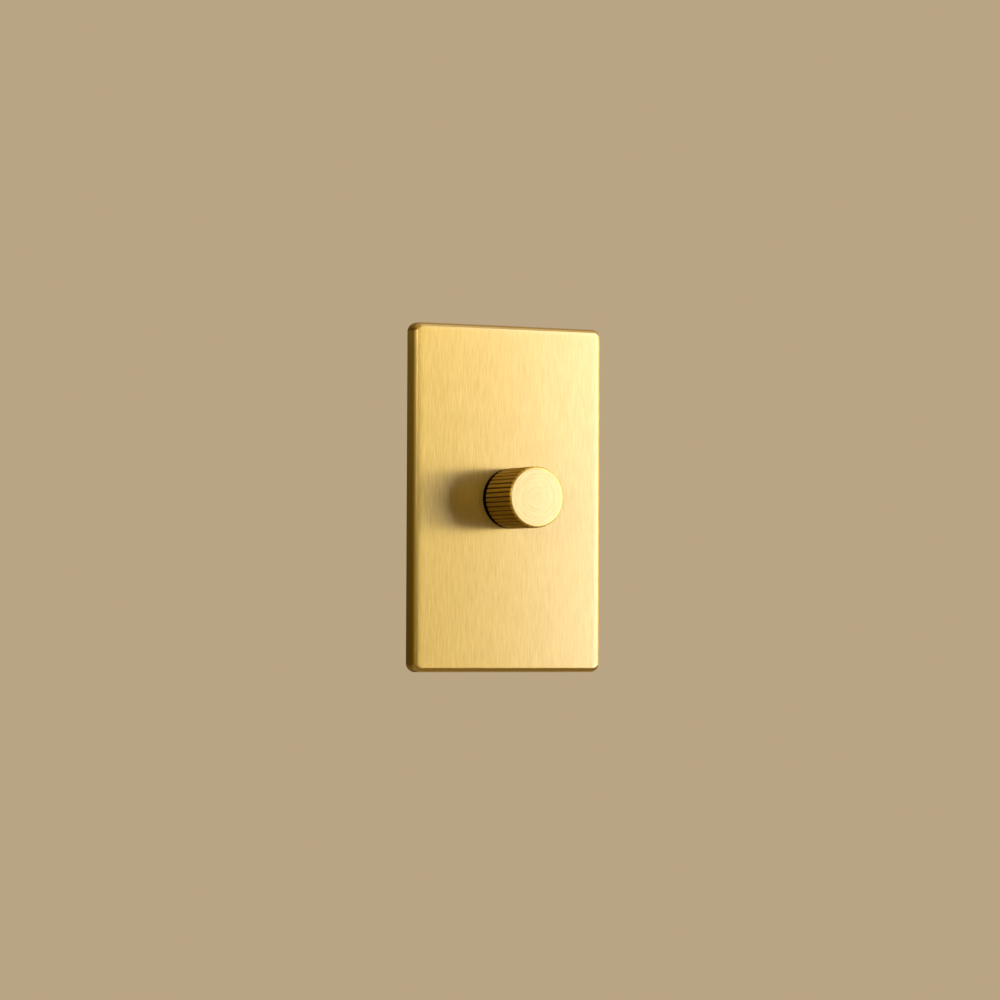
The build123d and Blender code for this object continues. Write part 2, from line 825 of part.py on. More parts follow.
def make_circuit_board():
    width = 2 * (inner_half_width - board_edge_gap)
    height = 2 * (inner_half_height - board_edge_gap)
    outline = Rectangle(width, height)
    notch = 2 * (post_radius + 2 * board_edge_gap)
    for x in (-rivet_x, rivet_x):
        for z in (-rivet_z, rivet_z):
            outline -= Pos(x, z) * Rectangle(notch, notch)
    for side in (-1, 1):
        outline -= Pos(side * peg_spacing / 2, peg_z) * Circle(peg_radius + hole_gap)
        outline -= Pos(side * peg_spacing / 2, -peg_z) * Circle(peg_radius + hole_gap)
        tail_width = terminal_plate_thickness + 2 * hole_gap
        tail_middle = (recess_floor + terminal_plate_face) / 2
        slot = Rectangle(tail_width, terminal_tail_width + 2 * hole_gap)
        outline -= Pos(side * tail_middle, -terminal_offset) * slot
        leg = Rectangle(contact_pad_thickness + 2 * hole_gap, contact_leg_width + 2 * hole_gap)
        outline -= Pos(side * contact_spacing / 2, 0) * leg
    lug = Rectangle(pot_lug_width + 2 * hole_gap, pot_lug_thickness + 2 * hole_gap)
    pin = Rectangle(triac_lead_size + 2 * hole_gap, triac_lead_size + 2 * hole_gap)
    for step in (-1, 0, 1):
        outline -= Pos(step * pot_lug_pitch, -lug_row - pot_lug_thickness / 2) * lug
        outline -= Pos(step * triac_lead_pitch, -triac_lead_row - triac_lead_size / 2) * pin
    for x, z in lead_places():
        outline -= Pos(x, z) * Circle(lead_radius + hole_gap)
    return slab(outline, board_front, board_back)


def make_choke_core():
    ring = Circle(choke_radius) - Circle(choke_hole_radius)
    return Pos(-choke_offset, 0, choke_z) * slab(ring, choke_front, choke_back)


def choke_angle(turn):
    """The place of one turn on the ring, with a gap at the top for the leads."""
    return 90 + 360 * (turn + 1) / (choke_turns + 1)


def choke_lead_place(turn):
    """Where the lead of one end turn meets the board."""
    spot = Rot(0, 0, choke_angle(turn)) * Pos(choke_radius + choke_wire / 2, 0)
    return (spot.position.X - choke_offset, spot.position.Y + choke_z)


def make_choke_winding():
    inner = choke_hole_radius - end_gap
    outer = choke_radius + end_gap
    front = choke_front - end_gap
    back = choke_back + end_gap
    half = choke_wire / 2
    wire = choke_wire - end_gap
    turn = block(inner - wire, outer + wire, front - wire, back + wire, -half, half)
    turn -= block(inner, outer, front, back, -choke_wire, choke_wire)
    solids = []
    for number in range(choke_turns):
        placed = Pos(-choke_offset, 0, choke_z) * Rot(0, -choke_angle(number), 0) * turn
        if number in (0, choke_turns - 1):
            placed += bar(lead_radius, choke_back, lead_end, *choke_lead_place(number))
        solids.append(placed)
    return together(solids)


def make_film_capacitor():
    outline = RectangleRounded(capacitor_width, capacitor_height, capacitor_corner)
    body = slab(Pos(capacitor_offset, capacitor_z) * outline, capacitor_front, board_front)
    for side in (-1, 1):
        z = capacitor_z + side * capacitor_lead_pitch / 2
        body += bar(lead_radius, board_front - lead_root, lead_end, capacitor_offset, z)
    return body


def make_triac():
    half = triac_width / 2
    tab_back = triac_front + triac_tab_thickness
    body_back = triac_front + triac_body_thickness
    body = block(-half, half, triac_front, tab_back, triac_tab_end, triac_body_end)
    body += block(-half, half, triac_front, body_back, triac_body_end, triac_top)
    body -= bar(triac_rivet_radius + hole_gap, triac_front, tab_back, 0, triac_hole_z)
    lead_front = triac_front + triac_body_thickness / 2
    for step in (-1, 0, 1):
        x0 = step * triac_lead_pitch - triac_lead_size / 2
        x1 = x0 + triac_lead_size
        low = -triac_lead_row - triac_lead_size
        body += block(x0, x1, lead_front, lead_front + triac_lead_size, triac_top, -triac_lead_row)
        body += block(x0, x1, lead_front, lead_end, low, -triac_lead_row)
    return body


def make_triac_pad():
    half = triac_width / 2 + triac_pad_margin
    low = triac_tab_end - triac_pad_margin
    high = triac_top + triac_pad_margin
    pad = block(-half, half, strap_back, triac_front, low, high)
    return pad - bar(triac_rivet_radius + hole_gap, strap_back, triac_front, 0, triac_hole_z)


def make_triac_rivet():
    tab_back = triac_front + triac_tab_thickness
    head = triac_rivet_radius * 1.6
    height = triac_rivet_radius * 0.5
    rivet = turned(
        (0, strap_front - height),
        (head * 0.7, strap_front - height),
        (head, strap_front),
        (triac_rivet_radius, strap_front),
        (triac_rivet_radius, tab_back),
        (head, tab_back),
        (head * 0.7, tab_back + height),
        (0, tab_back + height),
    )
    return Pos(0, 0, triac_hole_z) * rivet


def axial_part(radius, length, span):
    """A round body that lies along X on the board, with two bent leads."""
    y = board_front - radius - end_gap
    body = cross_bar(radius, -length / 2, length / 2, y, 0)
    body += cross_bar(lead_radius, -span / 2, span / 2, y, 0)
    for side in (-1, 1):
        body += Pos(side * span / 2, y, 0) * Sphere(lead_radius)
        body += bar(lead_radius, y, lead_end, side * span / 2, 0)
    return body


def make_resistors():
    resistor = axial_part(resistor_radius, resistor_length, resistor_span)
    solids = []
    for side in (-1, 1):
        solids.append(Pos(0, 0, -resistor_z + side * resistor_pitch / 2) * resistor)
    return together(solids)


def make_diac():
    return Pos(0, 0, -diac_z) * axial_part(diac_radius, diac_length, diac_span)


def make_timing_capacitor():
    outline = Pos(timing_offset, -timing_z) * RectangleRounded(timing_width, timing_height, timing_corner)
    body = slab(outline, board_front - timing_depth, board_front)
    for side in (-1, 1):
        x = timing_offset + side * timing_lead_pitch / 2
        body += bar(lead_radius, board_front - lead_root, lead_end, x, -timing_z)
    return body


pieces = {
    "cover_plate": make_cover_plate,
    "plate_carrier": make_plate_carrier,
    "carrier_screws": make_carrier_screws,
    "knob": make_knob,
    "knob_insert": make_knob_insert,
    "shaft": make_shaft,
    "bushing": make_bushing,
    "bush_washer": make_bush_washer,
    "bush_nut": make_bush_nut,
    "mounting_strap": make_mounting_strap,
    "box_screws": make_box_screws,
    "screw_retainers": make_screw_retainers,
    "ground_screw": make_ground_screw,
    "rear_housing": make_rear_housing,
    "housing_rivets": make_housing_rivets,
    "terminal_screws": make_terminal_screws,
    "terminal_plates": make_terminal_plates,
    "pot_case": make_pot_case,
    "pot_rotor": make_pot_rotor,
    "wiper_contact": make_wiper_contact,
    "track_wafer": make_track_wafer,
    "pot_lugs": make_pot_lugs,
    "switch_case": make_switch_case,
    "switch_plunger": make_switch_plunger,
    "contact_bridge": make_contact_bridge,
    "return_spring": make_return_spring,
    "fixed_contacts": make_fixed_contacts,
    "circuit_board": make_circuit_board,
    "choke_core": make_choke_core,
    "choke_winding": make_choke_winding,
    "film_capacitor": make_film_capacitor,
    "triac": make_triac,
    "triac_pad": make_triac_pad,
    "triac_rivet": make_triac_rivet,
    "resistors": make_resistors,
    "diac": make_diac,
    "timing_capacitor": make_timing_capacitor,
}

os.makedirs("parts", exist_ok=True)
for name, make in pieces.items():
    piece = make()
    export_step(piece, f"parts/{name}.step")
    size = piece.bounding_box().size
    print(f"{name}: {len(piece.solids())} solid(s), {size.X:.2f} x {size.Y:.2f} x {size.Z:.2f} mm")
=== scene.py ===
# %% [markdown]
# A dimmer switch in satin brass: a cover plate that clips over a carrier, and one fluted knob that
# is turned to set the light and pushed to switch it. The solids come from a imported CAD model, which
# fixes every place and size in metres. This lesson only dresses them, so it starts by loading the
# model and keeping the box that it fills.

# %% Load the solids
import json
import bpy
import numpy as np
from mathutils import Matrix, Quaternion, Vector


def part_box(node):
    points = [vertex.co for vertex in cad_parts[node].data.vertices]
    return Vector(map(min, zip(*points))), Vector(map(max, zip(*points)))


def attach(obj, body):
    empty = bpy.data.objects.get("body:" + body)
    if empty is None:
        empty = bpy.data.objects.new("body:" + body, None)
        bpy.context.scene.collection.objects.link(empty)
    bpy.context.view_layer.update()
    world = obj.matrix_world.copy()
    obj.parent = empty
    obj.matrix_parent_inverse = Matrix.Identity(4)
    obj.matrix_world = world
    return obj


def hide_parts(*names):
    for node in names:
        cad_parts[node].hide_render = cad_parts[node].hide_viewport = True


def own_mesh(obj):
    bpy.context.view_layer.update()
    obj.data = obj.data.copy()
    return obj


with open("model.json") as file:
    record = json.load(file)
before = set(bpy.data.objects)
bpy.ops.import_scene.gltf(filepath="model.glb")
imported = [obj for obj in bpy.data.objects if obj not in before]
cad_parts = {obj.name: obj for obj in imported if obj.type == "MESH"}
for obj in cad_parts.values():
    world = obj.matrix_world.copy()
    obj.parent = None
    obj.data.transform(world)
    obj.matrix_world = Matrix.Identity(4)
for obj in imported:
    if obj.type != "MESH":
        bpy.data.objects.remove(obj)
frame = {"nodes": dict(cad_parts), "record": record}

MM = 0.001
nodes = frame["nodes"]
scene = bpy.context.scene
scene.view_settings.view_transform = "Standard"
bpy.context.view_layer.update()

# %% [markdown]
# The plate is seen from the left and from just below its middle through a long lens, so its left
# flank shows and its far side hardly shrinks. A camera can be placed by eye, but here its angles,
# distance and focal length were solved from the four edges of the plate and are written as numbers.
# The picture is taken to be 1000 by 1000 pixels.

# %% Camera
azimuth, elevation, roll = np.radians([-28.30, -1.88, 0.235])
target = np.array([-0.19, 0.0, -0.27]) * MM
distance = 1351 * MM
sensor_width, focal_pixels, picture_pixels = 36, 4081, 1000
back = np.array([
    np.sin(azimuth) * np.cos(elevation),
    -np.cos(azimuth) * np.cos(elevation),
    np.sin(elevation),
])
level = np.cross(-back, (0, 0, 1))
level /= np.linalg.norm(level)
upright = np.cross(back, level)
right = np.cos(roll) * level + np.sin(roll) * upright
top = np.cos(roll) * upright - np.sin(roll) * level
camera = bpy.data.objects.new("camera", bpy.data.cameras.new("camera"))
camera.data.sensor_width = sensor_width
camera.data.lens = sensor_width * focal_pixels / picture_pixels
pose = np.eye(4)
pose[:3] = np.column_stack([right, top, back, target + back * distance])
camera.matrix_world = Matrix(pose.tolist())
scene.collection.objects.link(camera)
scene.camera = camera
print("camera", round(camera.data.lens, 1), "mm at", [round(v, 3) for v in camera.location])

# %% [markdown]
# Colours are written as sRGB hex values, as a paint chart gives them, and Blender works in linear
# light, so one function turns the first into the second. Materials are small graphs of nodes, and
# one more function adds a node, sets its options and fills or links its inputs.

# %% Helpers for colour and nodes
def linear(hex_colour):
    """Linear red, green, blue and alpha of an sRGB hex colour, by the sRGB curve."""
    value = np.array([int(hex_colour[i:i + 2], 16) for i in (1, 3, 5)]) / 255
    curve = np.where(value <= 0.04045, value / 12.92, ((value + 0.055) / 1.055) ** 2.4)
    return (*curve.tolist(), 1.0)


def add_node(tree, kind, inputs=None, **options):
    """Adds one node. Each input, by name or number, takes a value or the output it is linked to."""
    node = tree.nodes.new(kind)
    for option, value in options.items():
        setattr(node, option, value)
    for key, value in (inputs or {}).items():
        if isinstance(value, bpy.types.NodeSocket):
            tree.links.new(value, node.inputs[key])
        else:
            node.inputs[key].default_value = value
    return node


def per_metre(*millimetres):
    """Texture scale for Object coordinates, in metres, from the size of one cell in millimetres."""
    return tuple(1000 / size for size in millimetres)


print("pale beige is", [round(v, 3) for v in linear("#B9A584")])

# %% [markdown]
# The world is a plain pale surround. It lights the object evenly, and the camera and the metal both
# see it as a warm beige, the tone that sets off brass. Light Path tells the two uses apart, so the
# backdrop's colour doesn't change the light on the object.

# %% World
world = bpy.data.worlds.new("pale_surround")
scene.world = world
world.use_nodes = True
tree = world.node_tree
tree.nodes.clear()
path = add_node(tree, "ShaderNodeLightPath").outputs
seen = path["Is Camera Ray"]
for ray in ("Is Glossy Ray", "Is Transmission Ray"):
    seen = add_node(tree, "ShaderNodeMath", {0: seen, 1: path[ray]}, operation="MAXIMUM").outputs[0]
ambient = add_node(tree, "ShaderNodeBackground", {"Color": linear("#FFF8EE"), "Strength": 0.65})
backdrop = add_node(tree, "ShaderNodeBackground", {"Color": linear("#B9A584"), "Strength": 1.0})
both = add_node(tree, "ShaderNodeMixShader", {
    0: seen, 1: ambient.outputs[0], 2: backdrop.outputs[0],
})
add_node(tree, "ShaderNodeOutputWorld", {"Surface": both.outputs[0]})
print("world lights at", round(ambient.inputs["Strength"].default_value, 2), "and shows as beige")

# %% [markdown]
# The floor is matt and pale. It lies well below the object, so it stays out of the main picture and
# shows in views from above. A square plane would do, but its corners would show, so it is a wide
# disc.

# %% Floor
floor_radius, floor_drop, floor_sides = 4.0, 0.6, 96
around = np.linspace(0, 2 * np.pi, floor_sides, endpoint=False)
floor_points = np.column_stack([
    floor_radius * np.cos(around), floor_radius * np.sin(around), np.full(floor_sides, -floor_drop),
])
floor_mesh = bpy.data.meshes.new("floor")
floor_mesh.from_pydata(floor_points.tolist(), [], [list(range(floor_sides))])
floor = bpy.data.objects.new("floor", floor_mesh)
scene.collection.objects.link(floor)
# Matt paint: an even pale beige with no glint.
chalk = bpy.data.materials.new("matt_floor_paint")
chalk.use_nodes = True
chalk_shader = chalk.node_tree.nodes["Principled BSDF"]
chalk_shader.inputs["Base Color"].default_value = linear("#CDB896")
chalk_shader.inputs["Roughness"].default_value = 0.9
floor_mesh.materials.append(chalk)
print("floor", floor_drop, "m below the plate's middle, out of the main picture")

# %% [markdown]
# Three soft boxes light the object. The key stands near it on the right, so the knob throws a soft
# shadow to the left and the lacquer grows paler to the right. A weak one, high on the right, lifts
# the plate's upper edge. One to the left of the camera draws the thin bright line along the plate's
# left round. Small lamps would be simpler, but their shadows and glints would be hard.

# %% Lamps
def soft_box(name, place, aim, width, height, watts, lean=0.0, colour="#FFFFFF"):
    """A rectangular lamp at a place, turned to an aim and leant sideways, in metres and degrees."""
    lamp = bpy.data.lights.new(name, "AREA")
    lamp.shape = "RECTANGLE"
    lamp.size = width
    lamp.size_y = height
    lamp.energy = watts
    lamp.color = linear(colour)[:3]
    holder = bpy.data.objects.new(name, lamp)
    holder.location = place
    facing = (Vector(aim) - Vector(place)).to_track_quat("-Z", "Y")
    holder.rotation_euler = (facing @ Quaternion((0, 0, 1), np.radians(lean))).to_euler()
    holder.visible_camera = False
    scene.collection.objects.link(holder)
    print(name, width, "by", height, "m,", watts, "W")


soft_box("key_lamp", (0.349, -0.310, 0.08), (-0.02, 0, 0.08), 0.313, 0.56, 2.09, lean=5)
soft_box("top_lamp", (0.35, -0.38, 0.72), (0, 0, 0), 0.6, 0.6, 0.8)
soft_box("side_lamp", (-0.529, -0.728, 0.203), (0, 0, 0.203), 0.50, 0.255, 1.15, colour="#FFF8E4")

# %% [markdown]
# Metal looks like what it mirrors, so studio cards stand round the object. Dark ones behind it and
# behind the camera give depth to the plate's flank and corners and to the knob's side, and warm and
# bright ones beside, above and below it keep the edges golden. Real cards would need lamps of their
# own. These glow by themselves, and only mirrored rays see them, so they change no shadow.

# %% Studio cards
def studio_card(name, colour, start, end, rise):
    """A flat card: one edge from start to end, moved by rise to the opposite edge, in metres."""
    corners = np.array([start, end, np.add(end, rise), np.add(start, rise)])
    mesh = bpy.data.meshes.new(name)
    mesh.from_pydata(corners.tolist(), [], [(0, 1, 2, 3)])
    card = bpy.data.objects.new(name, mesh)
    paint = bpy.data.materials.new(name)
    paint.use_nodes = True
    tree = paint.node_tree
    tree.nodes.clear()
    glow = add_node(tree, "ShaderNodeEmission", {"Color": linear(colour), "Strength": 1.0})
    add_node(tree, "ShaderNodeOutputMaterial", {"Surface": glow.outputs[0]})
    mesh.materials.append(paint)
    card.visible_camera = False
    card.visible_diffuse = False
    card.visible_shadow = False
    card.visible_transmission = False
    card.visible_volume_scatter = False
    scene.collection.objects.link(card)


cards = [
    # Behind: what the plate's left flank mirrors, and what its rounded left corners do.
    ("back_card", "#412F0A", (-1.5, 0.7, -1.0), (-0.1, 0.7, -1.0), (0, 0, 2.0)),
    ("corner_card_high", "#241A06", (-0.1, 0.7, 0.12), (0.42, 0.7, 0.12), (0, 0, 0.38)),
    ("corner_card_low", "#241A06", (-0.1, 0.7, -0.5), (0.42, 0.7, -0.5), (0, 0, 0.38)),
    # Behind the camera and far left: the dark side of the studio, for shadow and the knob's side.
    ("front_card", "#352A10", (-1.5, -1.7, -1.0), (3.0, -1.7, -1.0), (0, 0, 2.4)),
    ("left_card", "#3A2E08", (-1.5, -0.6, -1.0), (-1.5, 0.7, -1.0), (0, 0, 2.4)),
    # Below, beside and above: warm tones for the plate's edges and the knob's rim.
    ("low_card", "#8F7B4A", (-1.5, -1.7, -0.29), (1.5, -1.7, -0.29), (0, 1.85, 0)),
    ("bounce_card", "#FFF0C0", (0.188, -0.502, 0.35), (0.510, -0.118, 0.35), (0, 0, 0.2)),
    ("side_card", "#E4C85A", (-1.5, -1.7, -1.0), (-1.5, -0.6, -1.0), (0, 0, 2.4)),
    ("right_card", "#B09050", (1.5, -1.7, -1.0), (1.5, 0.7, -1.0), (0, 0, 2.4)),
    ("high_card", "#B89F60", (-1.5, -1.7, 1.4), (1.5, -1.7, 1.4), (0, 2.4, 0)),
]
for row in cards:
    studio_card(*row)
print(len(cards), "studio cards")

# %% [markdown]
# Every new surface here is a stack of rings: closed rows of points that run round the piece, listed
# from its front middle outwards and back along it. One function skins such a stack with four-sided
# faces, which point outwards, and closes the two ends, or joins the last ring to the first.

# %% Skin a stack of rings
SHARP_ANGLE = np.radians(35)


def skin(name, rings, u_v, loop=False):
    """A mesh object from rings of points, in millimetres, and their U and V per ring and column.

    Corner (i, j) of the grid is column j of ring i; a face joins corners (i, j), (i+1, j),
    (i+1, j+1) and (i, j+1). U and V have one column more than the rings, so a pattern that runs
    round the piece meets itself at its end. Without loop, a point in the middle closes each end.
    """
    rows, columns = rings.shape[:2]
    i, j = np.mgrid[0:rows if loop else rows - 1, 0:columns]
    grid = np.stack([i, i + 1, i + 1, i], -1), np.stack([j, j, j + 1, j + 1], -1)
    faces = ((grid[0] % rows) * columns + grid[1] % columns).reshape(-1, 4)
    texture = u_v[grid[0] % rows, grid[1]].reshape(-1, 2)
    points = rings.reshape(-1, 3)
    caps = np.empty((0, 3), int)
    if not loop:
        points = np.vstack([points, rings[0].mean(0), rings[-1].mean(0)])
        first, last = np.arange(columns), (rows - 1) * columns + np.arange(columns)
        ends = np.full(columns, rows * columns)
        caps = np.vstack([
            np.column_stack([ends, first, np.roll(first, -1)]),
            np.column_stack([last, ends + 1, np.roll(last, -1)]),
        ])
        middle = (u_v[:, :-1] + u_v[:, 1:]) / 2
        front_cap = np.stack([middle[0], u_v[0, :-1], u_v[0, 1:]], 1)
        back_cap = np.stack([u_v[-1, :-1], middle[-1], u_v[-1, 1:]], 1)
        texture = np.vstack([texture, front_cap.reshape(-1, 2), back_cap.reshape(-1, 2)])
    mesh = bpy.data.meshes.new(name)
    mesh.from_pydata((points * MM).tolist(), [], faces.tolist() + caps.tolist())
    mesh.uv_layers.new(name="grain").data.foreach_set("uv", texture.ravel())
    mesh.shade_smooth()
    mesh.set_sharp_from_angle(angle=SHARP_ANGLE)
    piece = bpy.data.objects.new(name, mesh)
    scene.collection.objects.link(piece)
    print(name, len(mesh.polygons), "faces")
    return piece


def ring_points(x, y, z):
    """Stacks three grids of the same shape, or ones that spread to it, into points."""
    return np.stack(np.broadcast_arrays(x, y, z), -1)


# %% [markdown]
# The cover plate is a thin pressing: a flat front whose border falls away very slightly, a round
# along the whole front edge, sides 6 mm deep and an open back. It could be a bevelled box, but a
# bevel bends the light on the flat front. Here the outline is a core rectangle plus a corner radius
# along outward directions, so every inset of it keeps the same columns, and extra rings hold the
# flat parts flat. All sizes are in millimetres.

# %% Columns of the plate's outline
low, high = (np.array(corner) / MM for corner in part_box("cover_plate"))
plate_corner, plate_edge, pillow = 3.0, 1.6, 1.3  # corner radius, front round, softened border
notch_half = 4.5  # half the width of the pry notch in the lower rim
clip_middle, clip_half = 35.0, 6.2  # place and half length of the clip grooves along the sides
core_x, core_z = high[0] - plate_corner, high[2] - plate_corner


def with_steps(reach, count, steps, gap=0.005):
    """Even places along one straight side, with a pair of close ones at each step in it."""
    pairs = np.add.outer(steps, [-gap, gap]).ravel()
    return np.sort(np.r_[np.linspace(-reach, reach, count)[1:-1], pairs])


def plate_columns(rise_count=17, run_count=11, turn_count=11):
    """Core points and outward directions, counter-clockwise seen from the front.

    Each quarter is one straight side, with its own direction, and one corner, where the core stays
    in place and the direction sweeps a right angle.
    """
    clips = np.add.outer([-clip_middle, clip_middle], [-clip_half, clip_half]).ravel()
    rise = with_steps(core_z, rise_count, clips)
    run = with_steps(core_x, run_count, [-notch_half, notch_half])
    turn = np.linspace(0, np.pi / 2, turn_count)
    core, out = [], []
    for quarter, side in enumerate((rise, run, rise, run)):
        angle = quarter * np.pi / 2
        ahead = np.array([np.cos(angle), np.sin(angle)])
        along = np.array([-np.sin(angle), np.cos(angle)])
        reach, stop = (core_x, core_z) if quarter % 2 == 0 else (core_z, core_x)
        core += [ahead * reach + along * side[:, None]]
        core += [np.tile(ahead * reach + along * stop, (turn_count, 1))]
        out += [np.tile(ahead, (len(side), 1))]
        out += [np.column_stack([np.cos(angle + turn), np.sin(angle + turn)])]
    return np.vstack(core), np.vstack(out)


core, out = plate_columns()
border = core + (plate_corner - plate_edge - pillow) * out
bearing = border / np.linalg.norm(border, axis=1, keepdims=True)
print("plate outline", len(core), "columns")

# %% [markdown]
# The rings run from the knob's hole over the front, round the edge, down the sides, across the rim
# and up the inside to the hole again. The pry notch in the lower rim and the four clip grooves in
# the sides are steps of depth and inset in the columns that cross them.

# %% Rings of the cover plate
plate_front, plate_sheet = low[1], 1.5  # depth of the front, and thickness of the sheet
plate_inside = plate_front + plate_sheet
hole_radius, hole_break, hole_margin = 5.3, 0.15, 0.3  # the hole, its chamfer and the ring round it
pillow_drop, rim_break = 0.05, 0.12  # fall of the softened border, and chamfer of the rim
notch_rise, clip_depth, clip_top, clip_bottom, clip_gap = 1.1, 0.6, -0.4, -1.6, 0.01
flank_start, flank_end = plate_front + plate_edge + 0.4, -2.2  # rings that hold the flank flat
face_shares, pillow_shares = (0, 0.12, 0.3, 0.5, 0.7, 0.85, 0.95, 1), (0.8, 0.6, 0.4, 0.2)
round_start, round_count = np.arctan(2 * pillow_drop / pillow), 13
straight = 0.999  # the share of a direction along an axis from which a side counts as straight


def inset_ring(inset, depth):
    """The outline moved inwards by an inset, at a depth; both may differ from column to column."""
    flat = core + (plate_corner - np.asarray(inset).reshape(-1, 1)) * out
    return ring_points(flat[:, 0], depth, flat[:, 1])


def hole_ring(radius, depth):
    """A circle about the knob's axis, with its points on the same bearings as the border's."""
    return ring_points(radius * bearing[:, 0], depth, radius * bearing[:, 1])


def face_ring(share):
    """A ring of the flat front, a share of the way from the hole's ring to the border."""
    hole = (hole_radius + hole_margin) * bearing
    flat = hole + share * (border - hole)
    return ring_points(flat[:, 0], plate_front, flat[:, 1])


def pillow_ring(share):
    """A ring of the softened border, which falls as the square of the way across it."""
    return inset_ring(plate_edge + pillow * share, plate_front + pillow_drop * (1 - share) ** 2)


def round_ring(angle):
    """A ring of the front round: a circle's arc, which starts at the slope of the border's end."""
    radius = plate_edge / (1 - np.sin(round_start))
    fall = radius * (np.cos(round_start) - np.cos(angle))
    return inset_ring(radius * (1 - np.sin(angle)), plate_front + pillow_drop + fall)


in_notch = (out[:, 1] < -straight) & (np.abs(core[:, 0]) < notch_half)
in_clip = (np.abs(out[:, 0]) > straight) & (np.abs(np.abs(core[:, 1]) - clip_middle) < clip_half)
rim = np.where(in_notch, -notch_rise, 0.0)
groove = np.where(in_clip, plate_sheet - clip_depth, plate_sheet)
clip_start = np.minimum(clip_top, rim - rim_break - clip_gap)
print(in_notch.sum(), "columns in the notch,", in_clip.sum(), "in the clip grooves")

# %% [markdown]
# Stacked in that order and joined from last to first, the rings close the plate. U and V unfold its
# sides beside its front, so the direction of the strokes carries on round the edge.

# %% Cover plate
hole_rings = [
    hole_ring(hole_radius, plate_inside),
    hole_ring(hole_radius, plate_front + hole_break),
    hole_ring(hole_radius + hole_break, plate_front),
]
front_rings = [face_ring(share) for share in face_shares]
front_rings += [pillow_ring(share) for share in pillow_shares]
front_rings += [round_ring(angle) for angle in np.linspace(round_start, np.pi / 2, round_count)]
side_rings = [
    inset_ring(0, flank_start),
    inset_ring(0, flank_end),
    inset_ring(0, rim - rim_break),
    inset_ring(rim_break, rim),
    inset_ring(plate_sheet - rim_break, rim),
    inset_ring(plate_sheet, rim - rim_break),
]
clip_rings = [
    inset_ring(plate_sheet, clip_start),
    inset_ring(groove, clip_start),
    inset_ring(groove, clip_bottom),
    inset_ring(plate_sheet, clip_bottom),
    inset_ring(plate_sheet, plate_inside),
]
plate_rings = np.stack(hole_rings + front_rings + side_rings + clip_rings)
deep = plate_rings[..., 1:2] - plate_front
plate_u_v = plate_rings[..., ::2] + deep * out
plate_u_v = np.concatenate([plate_u_v, plate_u_v[:, :1]], 1) * MM
cover = skin("cover_plate_brass", plate_rings, plate_u_v, loop=True)
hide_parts("cover_plate")
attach(cover, "case")

# %% [markdown]
# The knob is turned from bar, with a small round on its rim, and is then cut with 40 straight V
# grooves, which leave wide lands between them. Forty boolean cuts in a cylinder would make it too,
# but their uneven faces shade badly. Here its surface is one radius for each angle and each place
# along it: the smaller of the turned silhouette and the fluted bar. The columns crowd at the
# grooves, so their edges are crisp but slightly broken, as a tumbled part's are.

# %% Columns and profile of the knob
low, high = (np.array(corner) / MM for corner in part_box("knob"))
knob_front, knob_back = low[1], high[1]
knob_radius, rim_round, flutes = 10.0, 0.65, 40
heel_chamfer, heel_run = 0.4, 0.45  # the broken edge at the back, across and along
rim_radius, heel_radius = knob_radius - rim_round, knob_radius - heel_chamfer
bore_radius, bore_end, bore_middle, bore_pole = 4.6, -20.6, -14, 0.3
rim_hold, heel_hold, bore_hold = 0.12, 0.15, 0.1  # distances of the rings that keep an edge crisp
groove_across = [0, 0.05, 0.26, 0.30, 0.34]  # distances from the middle of a groove
groove_depth = [0.385, 0.335, 0.055, 0.018, 0]  # and its depth there
column_across = np.array([0.05, 0.16, 0.26, 0.30, 0.34, 0.42, 0.60])
face_radii = [0.25, 1, 2, 3, 4, 5, 6, 7, 8, 8.8, rim_radius - rim_hold]
land_depths = np.array([rim_hold, 0.3, 4, 8, 12, 15.2])


def flute_columns():
    """Angles of the columns and the depth of the groove there: a V with a broken edge."""
    pitch = 2 * np.pi * knob_radius / flutes
    across = np.r_[-column_across[::-1], 0, column_across, pitch / 2]
    cut = np.interp(np.abs(across), groove_across, groove_depth)
    angles = np.arange(flutes)[:, None] * 2 * np.pi / flutes + across / knob_radius
    return angles.ravel(), np.tile(cut, flutes)


def silhouette(radius, depth):
    """Points of the turned profile, radius and depth; either may be one number for all of them."""
    return np.column_stack(np.broadcast_arrays(radius, depth))


angles, cut = flute_columns()
rim_steps = np.radians(np.arange(0, 91, 11.25))
rim_fall = rim_round * (1 - np.cos(rim_steps))
profile = np.vstack([
    silhouette(face_radii, knob_front),
    silhouette(rim_radius + rim_round * np.sin(rim_steps), knob_front + rim_fall),
    silhouette(knob_radius, knob_front + rim_round + land_depths),
    silhouette([knob_radius, heel_radius], [knob_back - heel_run, knob_back]),
    silhouette([heel_radius - heel_hold, 7, bore_radius + bore_hold, bore_radius], knob_back),
    silhouette(bore_radius, [knob_back - bore_hold, bore_middle, bore_end + bore_hold, bore_end]),
    silhouette([bore_radius - 2 * bore_hold, bore_pole], bore_end),
])
print("knob", len(angles), "columns,", len(profile), "rings")

# %% [markdown]
# The knob has four zones with finishes of their own: face, rim, lands and back. On the lands V runs
# along the knob, and elsewhere round it, because a finish takes its direction from U and V.

